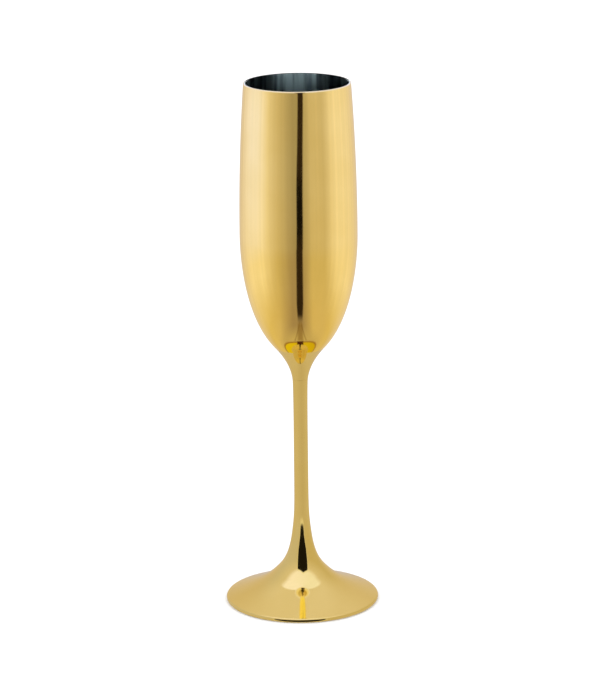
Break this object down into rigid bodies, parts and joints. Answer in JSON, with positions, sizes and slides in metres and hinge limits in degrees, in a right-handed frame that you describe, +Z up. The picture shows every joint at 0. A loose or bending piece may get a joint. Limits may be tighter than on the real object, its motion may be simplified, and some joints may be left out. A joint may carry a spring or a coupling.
{
  "type": "champagne flute",
  "caption": "Tall champagne flute with a slim tulip bowl, drawn stem and flared round foot; clear glass with a mirror-gold outside and a dark inside.",
  "frame": {"origin": "centre of the foot's resting ring, on the surface that the flute stands on", "axes": "+Z up along the flute's own axis, from the foot to the lip; the flute is the same all round, and -Y faces the viewer"},
  "size_m": [0.0652, 0.0652, 0.225],
  "materials": {
    "clear_glass": "gloss",
    "dark_undercoat": "gloss",
    "gold_plating": "polished"
  },
  "bodies": {
    "root": {"bowl_glass": "clear_glass", "stem_glass": "clear_glass", "foot_glass": "clear_glass", "bowl_undercoat": "dark_undercoat", "stem_undercoat": "dark_undercoat", "foot_undercoat": "dark_undercoat", "bowl_plating": "gold_plating", "stem_plating": "gold_plating", "foot_plating": "gold_plating"}
  },
  "joints": []
}
